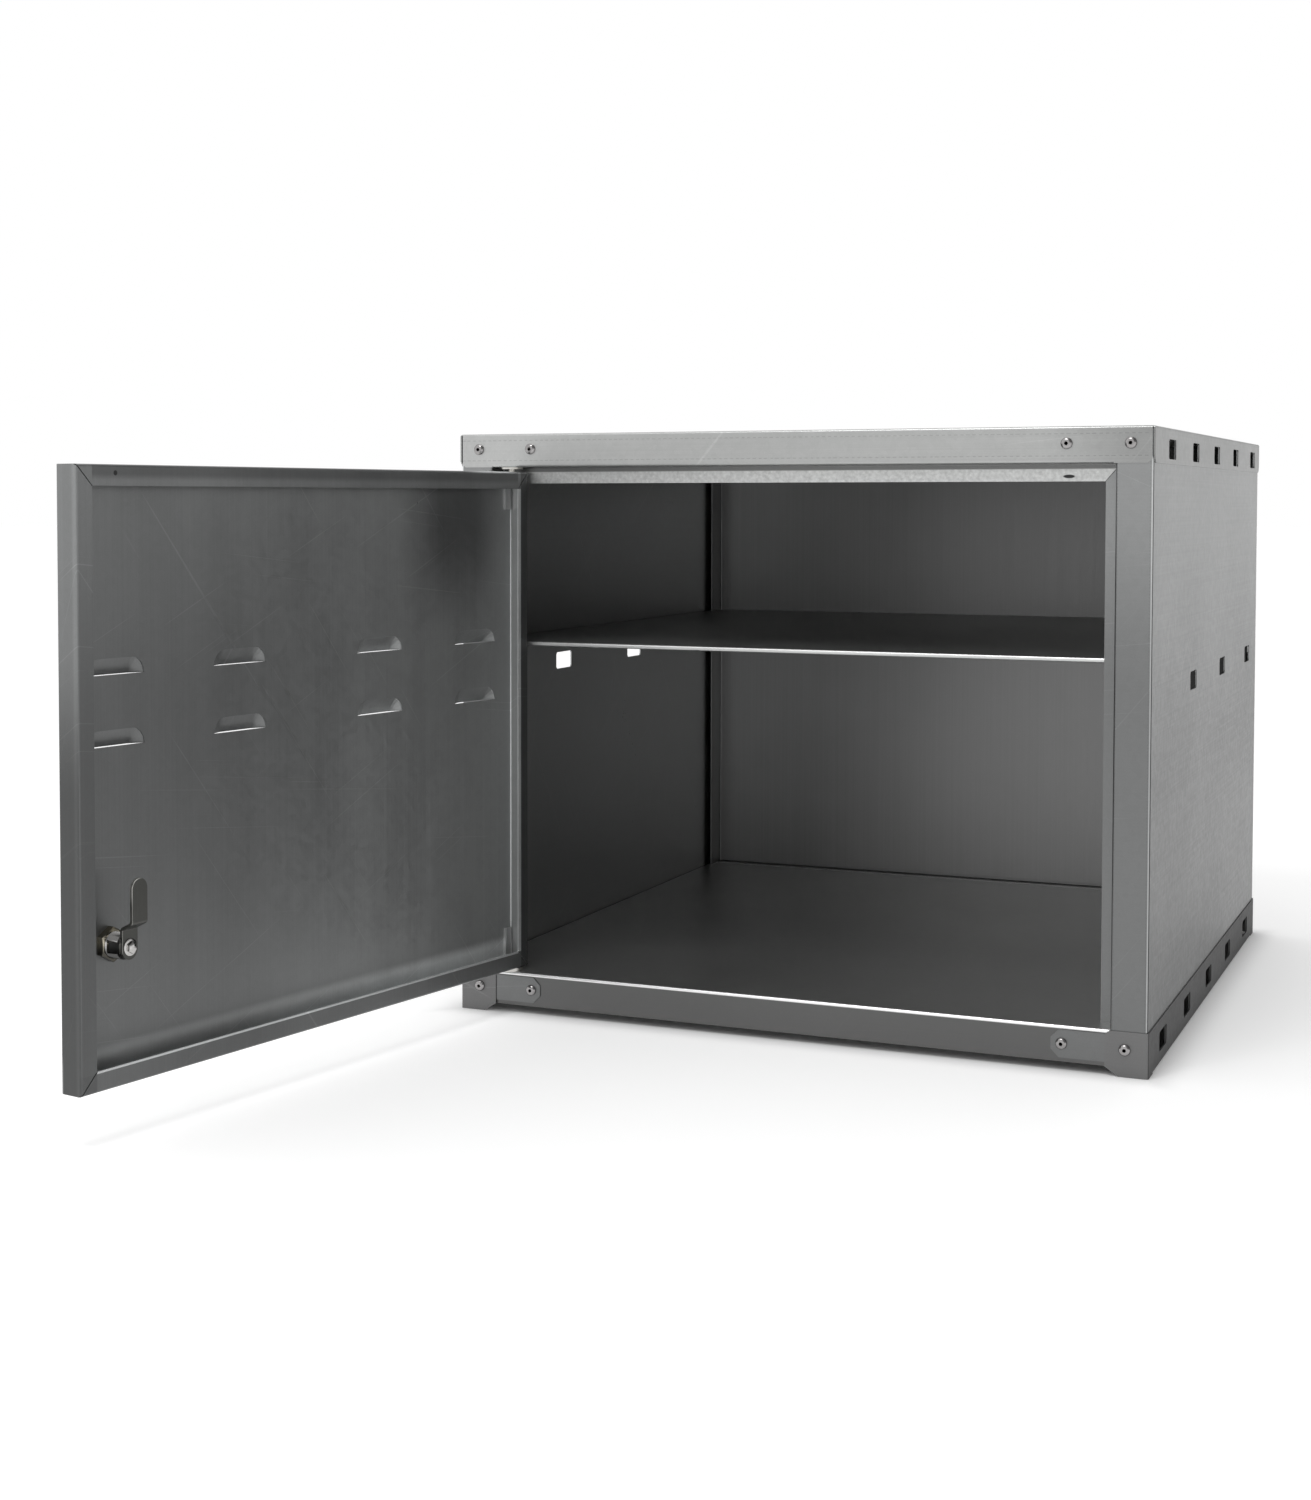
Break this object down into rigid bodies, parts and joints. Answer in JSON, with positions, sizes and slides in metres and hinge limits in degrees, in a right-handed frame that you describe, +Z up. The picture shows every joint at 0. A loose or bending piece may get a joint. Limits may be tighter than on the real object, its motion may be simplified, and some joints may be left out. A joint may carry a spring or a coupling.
{
  "type": "steel storage cupboard",
  "caption": "Low cupboard of folded galvanised sheet with a louvred pivot-hung door, cam lock, inner shelf and rows of slotted fixing holes.",
  "frame": {"origin": "on the ground at the middle of the cupboard's body, not of the open door", "axes": "+Z up, +X to the right seen from the front, -Y out of the front where the door is"},
  "size_m": [0.6588, 1.1559, 0.51],
  "materials": {
    "galvanised_sheet": "satin",
    "zinc_plated_hardware": "polished",
    "bush": "satin",
    "cam_steel": "satin"
  },
  "bodies": {
    "cabinet": {"lid_panel": "galvanised_sheet", "side_panel_left": "galvanised_sheet", "side_panel_right": "galvanised_sheet", "back_panel": "galvanised_sheet", "floor_tray": "galvanised_sheet", "base_rail_left": "galvanised_sheet", "base_rail_right": "galvanised_sheet", "shelf": "galvanised_sheet", "shelf_bracket_front_left": "galvanised_sheet", "shelf_bracket_front_right": "galvanised_sheet", "shelf_bracket_rear_left": "galvanised_sheet", "shelf_bracket_rear_right": "galvanised_sheet", "lid_screws_front": "zinc_plated_hardware", "lid_screws_rear": "zinc_plated_hardware", "base_screws_front": "zinc_plated_hardware", "base_screws_rear": "zinc_plated_hardware", "hinge_bush_top": "bush", "hinge_bush_bottom": "bush"},
    "door": {"door_panel": "galvanised_sheet", "hinge_bracket_top": "galvanised_sheet", "hinge_bracket_bottom": "galvanised_sheet", "hinge_pin_top": "zinc_plated_hardware", "hinge_pin_bottom": "zinc_plated_hardware", "lock_barrel": "zinc_plated_hardware", "lock_nut": "zinc_plated_hardware"},
    "lock_core": {"lock_plug": "zinc_plated_hardware", "lock_cam": "cam_steel", "cam_screw": "zinc_plated_hardware"}
  },
  "joints": [
    {"name": "door_hinge", "type": "hinge", "parent": "cabinet", "child": "door", "pos_m": [-0.2552, -0.314, 0.258], "axis": [0, 0, 1], "range_deg": [-7.6, 100.4]},
    {"name": "lock_turn", "type": "hinge", "parent": "door", "child": "lock_core", "pos_m": [-0.351, -0.78057, 0.137], "axis": [0.9836, -0.1805, 0], "range_deg": [0, 90]}
  ]
}
